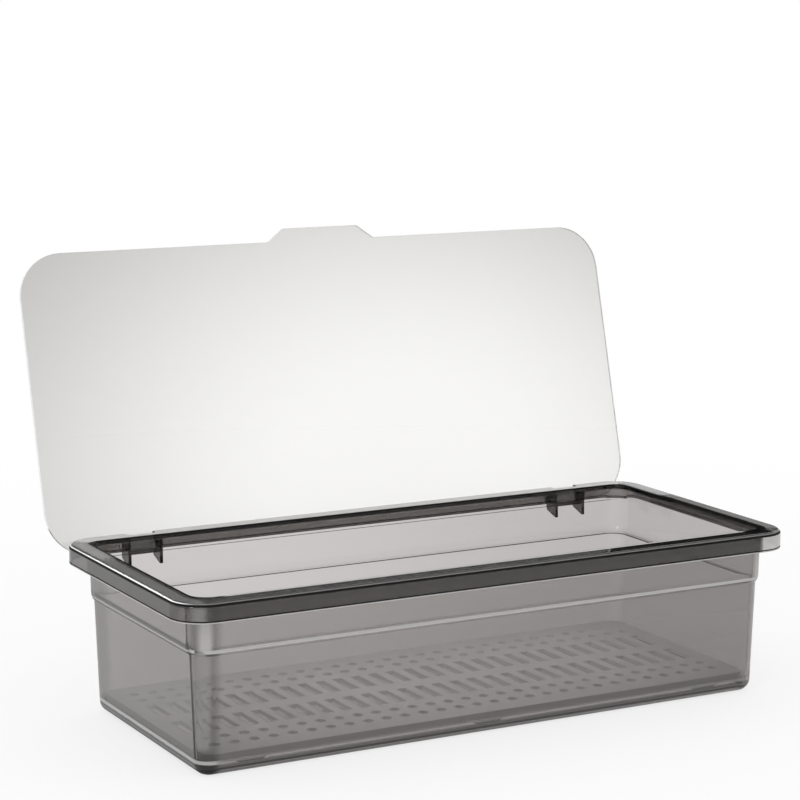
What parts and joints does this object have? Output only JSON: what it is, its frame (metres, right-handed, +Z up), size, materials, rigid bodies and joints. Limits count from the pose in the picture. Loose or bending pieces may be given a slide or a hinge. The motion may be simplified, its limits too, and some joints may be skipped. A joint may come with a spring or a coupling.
{
  "type": "chopstick holder with flip lid",
  "caption": "Long rectangular kitchen box with a turned-down rim, a flat lid hinged on the back rim with a finger tab, and a lift-out perforated drain tray on its floor.",
  "frame": {"origin": "centre of the underside of the tub, where it stands on the table", "axes": "+X along the length, -Y towards the front where the lid's finger tab lies when closed, +Z up"},
  "size_m": [0.296, 0.1746, 0.199],
  "materials": {
    "smoke_plastic": "see-through smoke grey, glossy",
    "clear_plastic": "crystal clear, glossy",
    "frosted_plastic": "translucent frosted, satin"
  },
  "bodies": {
    "tub": {"tub": "smoke_plastic"},
    "lid": {"lid": "clear_plastic"},
    "drain_tray": {"drain_tray": "frosted_plastic"}
  },
  "joints": [
    {"name": "lid_hinge", "type": "hinge", "parent": "tub", "child": "lid", "pos_m": [0, 0.06515, 0.068], "axis": [1, 0, 0], "range_deg": [0, 104.75]},
    {"name": "tray_lift", "type": "slide", "parent": "tub", "child": "drain_tray", "axis": [0, 0, 1], "range_m": [0, 0.085]}
  ]
}
